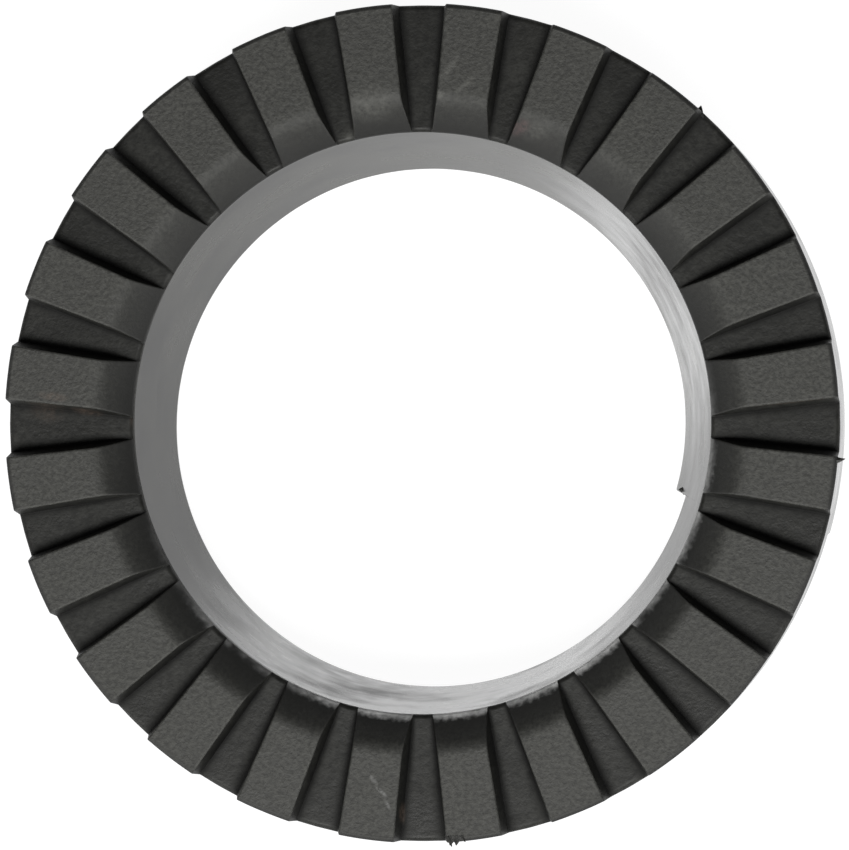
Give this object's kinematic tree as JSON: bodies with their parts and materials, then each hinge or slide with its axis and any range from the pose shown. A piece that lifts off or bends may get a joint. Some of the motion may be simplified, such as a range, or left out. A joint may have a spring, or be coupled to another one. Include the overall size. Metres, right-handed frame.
{
  "type": "coil spring insulator",
  "caption": "Moulded rubber ring with radial blocks on its flat face, a tapered bore rolled over at the top and a helical coil seat with an end stop beneath.",
  "frame": {"origin": "on the ring's axis, level with the lowest point of the underside, at the deep end of the coil seat", "axes": "+Z along the ring's axis, out of the face with the raised blocks; +X through the middle of a groove, 15.4 degrees round from the coil stop"},
  "size_m": [0.1618, 0.1616, 0.0332],
  "materials": {
    "moulded_rubber": "matte black moulded rubber with grained block tops"
  },
  "bodies": {
    "root": {"insulator_ring": "moulded_rubber"}
  },
  "joints": []
}
